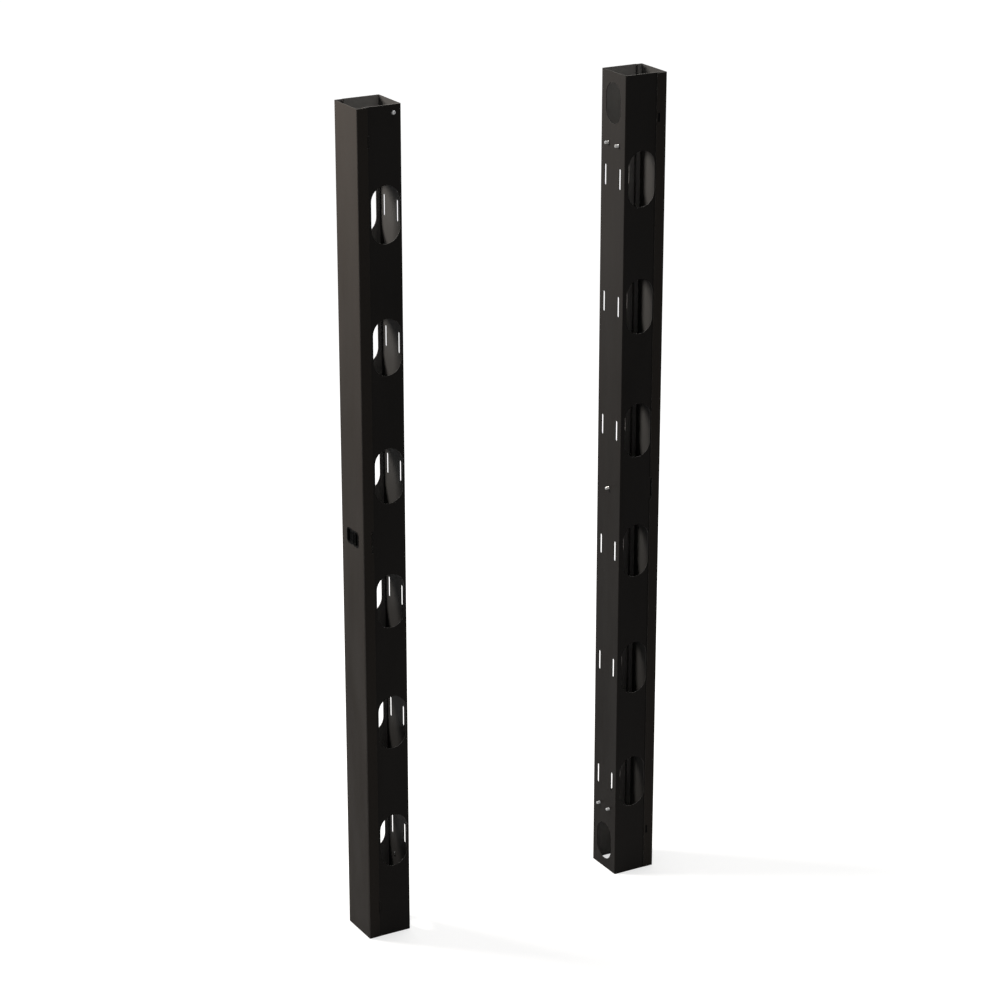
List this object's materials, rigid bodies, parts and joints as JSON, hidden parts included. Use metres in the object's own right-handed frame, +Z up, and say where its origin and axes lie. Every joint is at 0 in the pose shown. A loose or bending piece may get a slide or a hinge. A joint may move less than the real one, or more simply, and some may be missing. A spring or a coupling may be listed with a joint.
{
  "type": "vertical cable manager",
  "caption": "Tall black sheet-steel cable channels with a hinged cover, thumb latch, side cable openings, strap slots and mounting studs, standing as a pair.",
  "frame": {"origin": "on the floor, midway between the two managers", "axes": "+Z up along the managers, +X from the left manager to the right one, -Y the front"},
  "size_m": [0.7392, 0.1046, 1.8669],
  "materials": {
    "channel_powder_coat": "satin black powder coat with a fine texture",
    "cover_powder_coat": "satin black powder coat, smoother than the channel",
    "black_plastic": "moulded black plastic, fine matte grain",
    "zinc": "bright zinc plating",
    "spring_steel": "plain spring steel"
  },
  "bodies": {
    "managers": {"left_channel": "channel_powder_coat", "left_hinge_channel_leaves": "channel_powder_coat", "left_hinge_pins": "channel_powder_coat", "left_mounting_studs": "zinc", "left_ground_screw": "zinc", "left_ground_washer": "zinc", "left_ground_nut": "zinc", "right_channel": "channel_powder_coat", "right_hinge_channel_leaves": "channel_powder_coat", "right_hinge_pins": "channel_powder_coat", "right_mounting_studs": "zinc", "right_ground_screw": "zinc", "right_ground_washer": "zinc", "right_ground_nut": "zinc"},
    "left_cover": {"left_cover": "cover_powder_coat", "left_hinge_cover_leaves": "channel_powder_coat", "left_edge_buffers": "black_plastic", "left_latch_bezel": "black_plastic", "left_latch_housing": "black_plastic", "left_latch_studs": "zinc", "left_latch_back_plate": "channel_powder_coat", "left_latch_nuts": "zinc", "left_detent_springs": "spring_steel"},
    "left_hinge_side_latch": {"left_hinge_side_thumb": "black_plastic", "left_hinge_side_bolt": "zinc", "left_hinge_side_screw": "zinc"},
    "left_free_side_latch": {"left_free_side_thumb": "black_plastic", "left_free_side_bolt": "zinc", "left_free_side_screw": "zinc"},
    "right_cover": {"right_cover": "cover_powder_coat", "right_hinge_cover_leaves": "channel_powder_coat", "right_edge_buffers": "black_plastic", "right_latch_bezel": "black_plastic", "right_latch_housing": "black_plastic", "right_latch_studs": "zinc", "right_latch_back_plate": "channel_powder_coat", "right_latch_nuts": "zinc", "right_detent_springs": "spring_steel"},
    "right_hinge_side_latch": {"right_hinge_side_thumb": "black_plastic", "right_hinge_side_bolt": "zinc", "right_hinge_side_screw": "zinc"},
    "right_free_side_latch": {"right_free_side_thumb": "black_plastic", "right_free_side_bolt": "zinc", "right_free_side_screw": "zinc"}
  },
  "joints": [
    {"name": "left_cover_hinge", "type": "hinge", "parent": "managers", "child": "left_cover", "pos_m": [-0.34279, -0.0483, 0.93345], "axis": [0, 0, 1], "range_deg": [0, 110]},
    {"name": "left_hinge_side_slide", "type": "slide", "parent": "left_cover", "child": "left_hinge_side_latch", "axis": [0, -1, 0], "range_m": [0, 0.011]},
    {"name": "left_free_side_slide", "type": "slide", "parent": "left_cover", "child": "left_free_side_latch", "axis": [0, 1, 0], "range_m": [0, 0.011]},
    {"name": "right_cover_hinge", "type": "hinge", "parent": "managers", "child": "right_cover", "pos_m": [0.34279, 0.0483, 0.93345], "axis": [0, 0, 1], "range_deg": [0, 110]},
    {"name": "right_hinge_side_slide", "type": "slide", "parent": "right_cover", "child": "right_hinge_side_latch", "axis": [0, 1, 0], "range_m": [0, 0.011]},
    {"name": "right_free_side_slide", "type": "slide", "parent": "right_cover", "child": "right_free_side_latch", "axis": [0, -1, 0], "range_m": [0, 0.011]}
  ]
}
